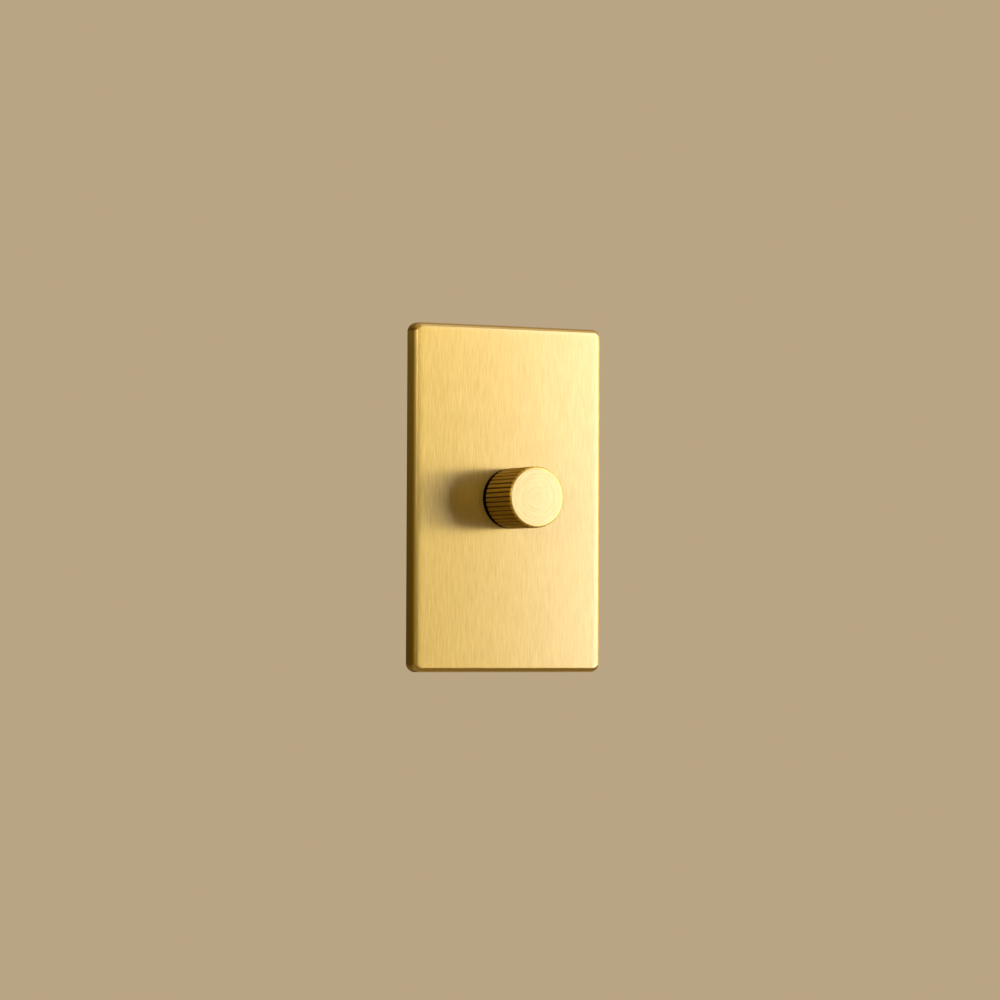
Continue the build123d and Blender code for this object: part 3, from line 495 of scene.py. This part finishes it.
# %% Knob
FACE, RIM, LAND, BACK = range(4)
edge_gap = 0.01
knob_r = np.minimum(profile[:, :1], knob_radius - cut)
knob_rings = ring_points(knob_r * np.cos(angles), profile[:, 1:], knob_r * np.sin(angles))
behind_rim = profile[:, 1] > knob_front + rim_round + edge_gap
zone = np.where(profile[:, 0] > rim_radius, RIM, FACE)
zone = np.where(behind_rim, np.where(profile[:, 0] > knob_radius - edge_gap, LAND, BACK), zone)
walked = np.r_[0, np.cumsum(np.linalg.norm(np.diff(profile, axis=0), axis=1))][:, None]
round_u = np.r_[angles, angles[0] + 2 * np.pi] * knob_radius
on_land = zone[:, None] == LAND
knob_u_v = np.stack([np.where(on_land, round_u, walked), np.where(on_land, walked, round_u)], -1)
knob = skin("knob_brass", knob_rings, knob_u_v * MM)
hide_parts("knob")
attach(knob, "spindle")

# %% [markdown]
# Each of the two box screws is a pan head with a slot, a plain neck and a 6-32 thread. A thread
# could be a helix curve with a profile, but its ends are hard to close. Here it is a height on the
# shank: the radius is a triangle wave of the depth less the turn, so one wave is one pitch.

# %% Rings of a box screw
thread_crest, thread_root, thread_pitch, thread_steps = 1.75, 1.30, 0.794, 11
shank_radius, end_radius, thread_gap = 1.5, 1.25, 0.02
wave_stretch, wave_drop = 1.25, 0.1  # they cut the tops and bottoms of the triangle wave flat


def slot_columns(radius, slot_half=0.45, lands=15, ends=4):
    """Angles round a slotted head of a given radius: slot, land, slot, land.

    There is a pair of columns at each edge of the slot, where the sine is its half width.
    """
    edge = np.arcsin(np.minimum(slot_half / radius, 1))
    groups = [
        np.linspace(-edge, edge, ends),
        np.linspace(edge, np.pi - edge, lands),
        np.linspace(np.pi - edge, np.pi + edge, ends),
        np.linspace(np.pi + edge, 2 * np.pi - edge, lands),
    ]
    in_slot = np.r_[np.ones(ends), np.zeros(lands), np.ones(ends), np.zeros(lands)]
    return np.concatenate(groups), in_slot.astype(bool)


def thread_rings(start, tip):
    """Rings of the thread: root plus a clipped triangle wave, under a taper of 45 degrees."""
    count = int((tip - start) / thread_pitch * thread_steps)
    depths = np.linspace(start + thread_gap, tip - thread_gap, count)[:, None]
    turn, _ = slot_columns(shank_radius)
    phase = (depths / thread_pitch - turn / (2 * np.pi)) % 1
    wave = np.clip(wave_stretch * (1 - np.abs(2 * phase - 1)) - wave_drop, 0, 1)
    taper = np.minimum(thread_crest, thread_root + tip - depths)
    radius = np.minimum(thread_root + (thread_crest - thread_root) * wave, taper)
    thread = ring_points(radius * np.cos(turn), depths, radius * np.sin(turn))
    end = ring_points(end_radius * np.cos(turn), tip, end_radius * np.sin(turn))
    return [*thread, end]


def screw_rings(head_front=-3.6, slot_floor=-2.7, strap_front=-1.8, neck_end=0.6, tip=24.0):
    """Rings of one screw about its own axis: head and neck, by radius and depth, then thread."""
    head = [(0.5, slot_floor), (0.5, head_front), (1.4, head_front), (2.48, head_front)]
    head += [(2.9, head_front + 0.25), (3.1, head_front + 0.62), (3.1, strap_front)]
    neck = [(1.6, strap_front), (1.45, strap_front), (1.45, neck_end), (thread_root, neck_end)]
    rings = []
    for radius, depth in head + neck:
        turn, in_slot = slot_columns(radius)
        place = np.where(in_slot, np.maximum(depth, slot_floor), depth)
        rings.append(ring_points(radius * np.cos(turn), place, radius * np.sin(turn)))
    return np.stack(rings + thread_rings(neck_end, tip))


one_screw = screw_rings()
print("box screw", one_screw.shape[0], "rings of", one_screw.shape[1], "points")

# %% [markdown]
# The two screws are the same and stand above and below the middle, at the standard spacing. They
# could be one mesh, but each is a piece of its own, as on the real object. Both take the place of
# the one node that holds the two plain solids.

# %% Box screws
screw_spacing = 83.34


def box_screw(name, z):
    """One screw at its height on the strap, with U round it and V along it."""
    turn = np.unwrap(np.arctan2(one_screw[..., 2], one_screw[..., 0]), axis=1)
    turn = np.concatenate([turn, turn[:, :1] + 2 * np.pi], 1)
    along = np.repeat(one_screw[:, :1, 1], turn.shape[1], 1)
    return skin(name, one_screw + (0, 0, z), np.stack([turn, along], -1) * MM)


upper = box_screw("box_screw_upper", screw_spacing / 2)
lower = box_screw("box_screw_lower", -screw_spacing / 2)
for screw in (upper, lower):
    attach(screw, "case")
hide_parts("box_screws")
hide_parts("box_screws")

# %% [markdown]
# Behind the knob's shaft, inside the push switch, a coil of steel wire brings the slide back. A
# curve with a round bevel could draw it, but the skin serves here too: each ring is the round
# section of the wire, square to the coil's path.

# %% Return spring
def coil_rings(front, behind, wire=0.3, coil=2.1, turns=4, steps=36, sides=12):
    """Rings of a wire round a helix: a circle along two directions that are square to the path."""
    turn = np.linspace(0, 2 * np.pi * turns, steps * turns + 1)[:, None]
    depth = np.linspace(front + wire, behind - wire, len(turn))[:, None]
    path = np.hstack([coil * np.sin(turn), depth, coil * np.cos(turn)])
    outward = np.hstack([np.sin(turn), 0 * turn, np.cos(turn)])
    ahead = np.gradient(path, axis=0)
    across = np.cross(outward, ahead / np.linalg.norm(ahead, axis=1, keepdims=True))
    angle = np.linspace(0, 2 * np.pi, sides, endpoint=False)[:, None]
    section = np.cos(angle) * outward[:, None] + np.sin(angle) * across[:, None]
    return path[:, None] + wire * section


low, high = (np.array(corner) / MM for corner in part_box("return_spring"))
wire_rings = coil_rings(low[1], high[1])
wire_grid = np.meshgrid(np.arange(wire_rings.shape[1] + 1.0), np.arange(len(wire_rings)))
spring = skin("return_spring_coil", wire_rings, np.stack(wire_grid, -1) * MM)
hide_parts("return_spring")
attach(spring, "case")
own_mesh(spring)

# %% [markdown]
# Satin brass is sheet or bar that was drawn along an abrasive belt and then lacquered. The metal
# itself gives a broad warm glow, streaked along the strokes, and the clear lacquer over it adds a
# paler, tighter sheen towards the lamp. Under the knob and in its grooves the colour is painted
# dark, without lacquer: painted shade. A picture of brass could be laid on, but its light would be
# fixed, so one function makes all of these from strokes of a known size.

# %% Satin brass
MIX_A, MIX_B, MIX_OUT = 6, 7, 2  # the colour sockets of a Mix node
# The second colour is painted shade, laid under the knob and in the knob's grooves.
BRASS, PAINTED_SHADE = ("#D9B454", "#EFCE73"), "#1C1004"
# A lacquer's own IOR is near 1.5. It is set higher, because its sheen would be too faint here.
LACQUER_ROUGH, LACQUER_IOR = 0.23, 2.0
# The noise is turned, in radians, so that no stroke follows its grid.
NOISE_TURN = (0.6, 0.8, 0.4)
# How far the strokes change the roughness, and how deep they are in millimetres.
ROUGH_SPREAD, STROKE_RELIEF = 0.02, 0.05
# Distances in millimetres behind the plate's front, between which its flank grows smoother.
FLANK_NEAR, FLANK_FAR = 0.4, 2.0


def new_material(name, fixed):
    """An empty material with its shader; the fixed inputs are the same all over the surface."""
    material = bpy.data.materials.new(name)
    material.use_nodes = True
    shader = material.node_tree.nodes["Principled BSDF"]
    for key, value in fixed.items():
        shader.inputs[key].default_value = value
    return material, material.node_tree, shader


def satin_brass(name, strokes, turned=False, shades=BRASS, rough=0.39, streak=1.0, lacquer=1.0,
                painted_shade_radii=None, side=1.0):
    """Brass with strokes of a given size in millimetres along X, Y and Z, or rings if it is turned.

    Inside the first radius the colour is painted shade, dark and unlacquered; past the second it is
    brass.
    The roughness falls to side times its value from the plate's front to the middle of its flank.
    """
    material, tree, shader = new_material(name, {
        "Metallic": 1.0, "Anisotropic": streak, "Coat Weight": lacquer,
        "Coat Roughness": LACQUER_ROUGH, "Coat IOR": LACQUER_IOR,
    })
    place = add_node(tree, "ShaderNodeTexCoord").outputs["Object"]
    axes = add_node(tree, "ShaderNodeSeparateXYZ", {0: place}).outputs
    flat = add_node(tree, "ShaderNodeCombineXYZ", {"X": axes["X"], "Z": axes["Z"]}).outputs[0]
    radius = add_node(tree, "ShaderNodeVectorMath", {0: flat}, operation="LENGTH").outputs["Value"]
    if turned:
        place = add_node(tree, "ShaderNodeCombineXYZ", {
            "X": radius, "Y": axes["X"], "Z": axes["Z"],
        }).outputs[0]
    mapped = add_node(tree, "ShaderNodeMapping", {
        "Vector": place, "Scale": per_metre(*strokes), "Rotation": NOISE_TURN,
    })
    marks = add_node(tree, "ShaderNodeTexNoise", {
        "Vector": mapped.outputs[0], "Scale": 1.0, "Detail": 3.0, "Roughness": 0.65,
    }).outputs[0]
    level = add_node(tree, "ShaderNodeMapRange", {
        "Value": marks, "From Min": 0.35, "From Max": 0.65,
    }).outputs[0]
    colour = add_node(tree, "ShaderNodeMix", {
        0: level, MIX_A: linear(shades[0]), MIX_B: linear(shades[1]),
    }, data_type="RGBA").outputs[MIX_OUT]
    dullness = add_node(tree, "ShaderNodeMapRange", {
        "Value": level, "To Min": rough + ROUGH_SPREAD, "To Max": rough - ROUGH_SPREAD,
    }).outputs[0]
    if side < 1:
        change = add_node(tree, "ShaderNodeMapRange", {
            "Value": axes["Y"], "To Min": 1.0, "To Max": side,
            "From Min": (plate_front + FLANK_NEAR) * MM, "From Max": (plate_front + FLANK_FAR) * MM,
        }).outputs[0]
        dullness = add_node(tree, "ShaderNodeMath", {
            0: dullness, 1: change,
        }, operation="MULTIPLY").outputs[0]
    # Inside the given radii the colour is darkened as painted shade, under the knob and in its
    # grooves.
    if painted_shade_radii:
        bright = add_node(tree, "ShaderNodeMapRange", {
            "Value": radius, "From Min": painted_shade_radii[0] * MM, "From Max": painted_shade_radii[1] * MM, "To Max": 1.0,
        }).outputs[0]
        colour = add_node(tree, "ShaderNodeMix", {
            0: bright, MIX_A: linear(PAINTED_SHADE), MIX_B: colour,
        }, data_type="RGBA").outputs[MIX_OUT]
        if lacquer:
            tree.links.new(bright, shader.inputs["Coat Weight"])
    bump = add_node(tree, "ShaderNodeBump", {
        "Height": marks, "Strength": 0.12, "Distance": STROKE_RELIEF * MM,
    })
    tangent = add_node(tree, "ShaderNodeTangent", direction_type="UV_MAP", uv_map="grain")
    tree.links.new(colour, shader.inputs["Base Color"])
    tree.links.new(dullness, shader.inputs["Roughness"])
    tree.links.new(bump.outputs[0], shader.inputs["Normal"])
    tree.links.new(tangent.outputs[0], shader.inputs["Tangent"])
    return material


print("brass from", BRASS[0], "to", BRASS[1], "under lacquer")

# %% [markdown]
# The plate has straight strokes along its height, and its flank is a little smoother than its
# front. The knob's face and rim show the rings of the lathe, the strokes on its lands run
# lengthwise, and its back is painted dark as painted shade. The knob could be split by finish, but
# each zone's number from above picks its material, so it stays one mesh.

# %% Brass of the plate and the knob
# Brushed, lacquered sheet gives a soft glow with fine upright lines; under the knob, painted shade.
# Real brush strokes are near 0.05 mm wide; they are drawn 0.16 mm wide so that they show.
plate_brass = satin_brass("brushed_lacquered_brass", (0.16, 0.16, 6), painted_shade_radii=(9.75, 9.95), side=0.80)
# Turning marks of 0.1 mm, drawn 0.4 mm apart to show, are faint rings; the paler shades paint a
# highlight.
face_brass = satin_brass(
    "turned_lacquered_brass", (0.4, 5, 5), turned=True, shades=("#D7BF7E", "#E6D293"), streak=0.2)
# The rim has no lacquer left, so it is a thin warm line round the face.
rim_brass = satin_brass("turned_brass_edge", (0.4, 5, 5), turned=True, lacquer=0.0, streak=0.2)
# The lands are painted a darker gold as painted shade, and their grooves are painted shade too.
land_brass = satin_brass(
    "fluted_brass", (0.3, 8, 0.3), shades=("#95780C", "#AC8D14"), lacquer=0.0, painted_shade_radii=(9.6, 9.97))
# The back of the knob is painted near black, painted shade, so the gap behind it looks black.
back_brass = satin_brass(
    "knob_back_painted_shade", (0.4, 5, 5), turned=True, shades=("#33260F", "#453518"), lacquer=0.0)
cover.data.materials.append(plate_brass)
for material in (face_brass, rim_brass, land_brass, back_brass):
    knob.data.materials.append(material)
slots = np.repeat(np.r_[zone[1:], FACE, BACK], len(angles)).astype(np.int32)
knob.data.polygons.foreach_set("material_index", slots)
print("knob faces on its front, rim, lands and back:", np.bincount(slots))

# %% [markdown]
# The other pieces have plainer finishes: plated and rolled metals, moulded and pressed plastics,
# sheet and lacquer. They share one graph, a pattern of a known size in millimetres that moves the
# colour between two shades, the roughness between two values, and lifts a slight relief.

# %% A plain finish
NOISE, CRYSTALS, WEAVE = "ShaderNodeTexNoise", "ShaderNodeTexVoronoi", "ShaderNodeTexWave"


def finish(name, shades, cell, rough, relief=0.0, metal=0.0, pattern=NOISE, fixed=None):
    """A finish with shades from dark to light over a pattern whose cell is given in millimetres."""
    material, tree, shader = new_material(name, {"Metallic": metal, **(fixed or {})})
    place = add_node(tree, "ShaderNodeTexCoord").outputs["Object"]
    mapped = add_node(tree, "ShaderNodeMapping", {"Vector": place, "Scale": per_metre(*cell)})
    grain = add_node(tree, pattern, {"Vector": mapped.outputs[0], "Scale": 1.0})
    level = add_node(tree, "ShaderNodeMapRange", {
        "Value": grain.outputs[0], "From Min": 0.25, "From Max": 0.75,
    }).outputs[0]
    colour = add_node(tree, "ShaderNodeMix", {
        0: level, MIX_A: linear(shades[0]), MIX_B: linear(shades[1]),
    }, data_type="RGBA")
    dullness = add_node(tree, "ShaderNodeMapRange", {
        "Value": level, "To Min": rough[0], "To Max": rough[1],
    })
    bump = add_node(tree, "ShaderNodeBump", {
        "Height": level, "Strength": 0.5, "Distance": relief * MM,
    })
    tree.links.new(colour.outputs[MIX_OUT], shader.inputs["Base Color"])
    tree.links.new(dullness.outputs[0], shader.inputs["Roughness"])
    tree.links.new(bump.outputs[0], shader.inputs["Normal"])
    return material


print("a plain finish takes shades, cell, roughness, relief and metal")

# %% [markdown]
# Metals mirror their surround, so what tells them apart is tint, gloss and the marks of rolling,
# drawing or plating. Each is named by the slot that the model's record gives it.

# %% Metals
metals = {
    # Rolled brass left bare: warm, with faint lines along the strip.
    "plain_brass": finish(
        "rolled_brass", ("#B8913F", "#C9A353"), (0.6, 0.6, 9), (0.32, 0.42), 0.004, 1.0),
    # Enamel over drawn copper: a glossy orange brown.
    "copper_enamel": finish(
        "enamelled_copper", ("#8A4520", "#A8562A"), (0.8, 0.8, 0.8), (0.25, 0.35), 0.003, 1.0),
    # Zinc on steel: a cool grey with a slight bloom of crystals.
    "zinc_steel": finish(
        "zinc_plated_steel", ("#A3A6A8", "#BFC2C4"), (1.2, 1.2, 1.2), (0.30, 0.42), 0.003, 1.0,
        CRYSTALS),
    # Hard drawn wire: dark and even, with drawing lines too fine to part.
    "spring_steel": finish(
        "drawn_spring_steel", ("#7C7F84", "#96999E"), (0.5, 3, 0.5), (0.28, 0.36), 0.002, 1.0),
    # Sheet as it leaves the mill: soft lines along the rolling, 0.4 mm apart so that they show.
    "mill_aluminium": finish(
        "mill_finish_aluminium", ("#B4B7BA", "#CDD0D2"), (0.4, 0.4, 25), (0.34, 0.46), 0.004, 1.0),
    # Dyed zinc on the earth screw: metal under a thin green.
    "green_steel": finish(
        "green_dyed_steel", ("#1F6B37", "#2C8447"), (0.9, 0.9, 0.9), (0.30, 0.42), 0.003, 0.7),
    # The plate's own brass, also for solids that share its slot.
    "brushed_brass": plate_brass,
}
print(len(metals), "metals")

# %% [markdown]
# Plastics, papers and coats are told apart by how they were formed: a mould leaves its own skin, a
# press shows fibres or grains, and a dip or a melt leaves a gloss.

# %% Plastics, papers and coats
plastics = {
    # Moulded nylon, off-white: a fine matt skin.
    "carrier_nylon": finish(
        "moulded_white_nylon", ("#D6D3CA", "#E0DDD5"), (0.5, 0.5, 0.5), (0.48, 0.58), 0.010),
    # Moulded nylon, black: the mould was spark eroded, which leaves a pebbled skin of 0.4 mm.
    "housing_nylon": finish(
        "moulded_black_nylon", ("#1A1A1C", "#252528"), (0.4, 0.4, 0.4), (0.46, 0.60), 0.020),
    # The control's cases: a smoother dark moulding.
    "control_nylon": finish(
        "moulded_grey_nylon", ("#2B2B2E", "#37373B"), (0.5, 0.5, 0.5), (0.42, 0.52), 0.008),
    # Vulcanised fibre: pressed paper, with long pale hairs.
    "fibre": finish(
        "vulcanised_fibre", ("#7E5F3C", "#9C7A50"), (0.3, 0.3, 2.5), (0.60, 0.72), 0.008),
    # Pressed phenolic paper: brown and slightly glossy.
    "phenolic": finish(
        "pressed_phenolic", ("#53321C", "#664024"), (0.8, 0.8, 0.8), (0.35, 0.45), 0.004),
    # Glass cloth in epoxy: the weave of 0.5 mm shows through a green mask.
    "board_laminate": finish(
        "glass_epoxy_laminate", ("#1C4A28", "#27603A"), (0.5, 0.5, 0.5), (0.25, 0.35), 0.004,
        pattern=WEAVE),
    # Pressed iron powder: dark grains under a clear coat.
    "core_iron": finish(
        "pressed_iron_powder", ("#454A45", "#5C615B"), (0.35, 0.35, 0.35), (0.45, 0.60), 0.012, 0.3,
        CRYSTALS),
    # Moulded polyester case: an even, glossy yellow.
    "capacitor_case": finish(
        "moulded_yellow_polyester", ("#C29022", "#D2A02E"), (1.5, 1.5, 1.5), (0.28, 0.36), 0.003),
    # Moulded epoxy package: matt black with a fine filler.
    "package_resin": finish(
        "moulded_black_epoxy", ("#161618", "#202024"), (0.25, 0.25, 0.25), (0.50, 0.62), 0.006),
    # Silicone sheet: soft grey with a cloth print.
    "pad_silicone": finish(
        "silicone_sheet", ("#7B848D", "#8E979F"), (0.6, 0.6, 0.6), (0.60, 0.70), 0.006,
        pattern=WEAVE),
    # Dipped lacquer: a glossy tan with slight runs.
    "resistor_coat": finish(
        "dipped_tan_lacquer", ("#B4966A", "#C6A97E"), (1.2, 1.2, 1.2), (0.22, 0.32), 0.010),
    # Sealed glass: an amber, glossy bead.
    "diac_glass": finish(
        "sealed_amber_glass", ("#A6512A", "#BC6536"), (1.0, 1.0, 1.0), (0.12, 0.18), 0.002,
        fixed={"Coat Weight": 0.5}),
}
print(len(plastics), "plastics, papers and coats")

# %% [markdown]
# The record says which slot each solid takes, so one loop dresses them all. The new pieces take the
# finish of the slot that they were given.

# %% Dress the solids
finishes = {**metals, **plastics}
for row in frame["record"]["subparts"]:
    solid = nodes[row["node"]]
    solid.data.materials.clear()
    solid.data.materials.append(finishes[row["material_slot"]])
for screw in (upper, lower):
    screw.data.materials.append(finishes["zinc_steel"])
spring.data.materials.append(finishes["spring_steel"])
print(len(finishes), "finishes on", len(nodes), "nodes")
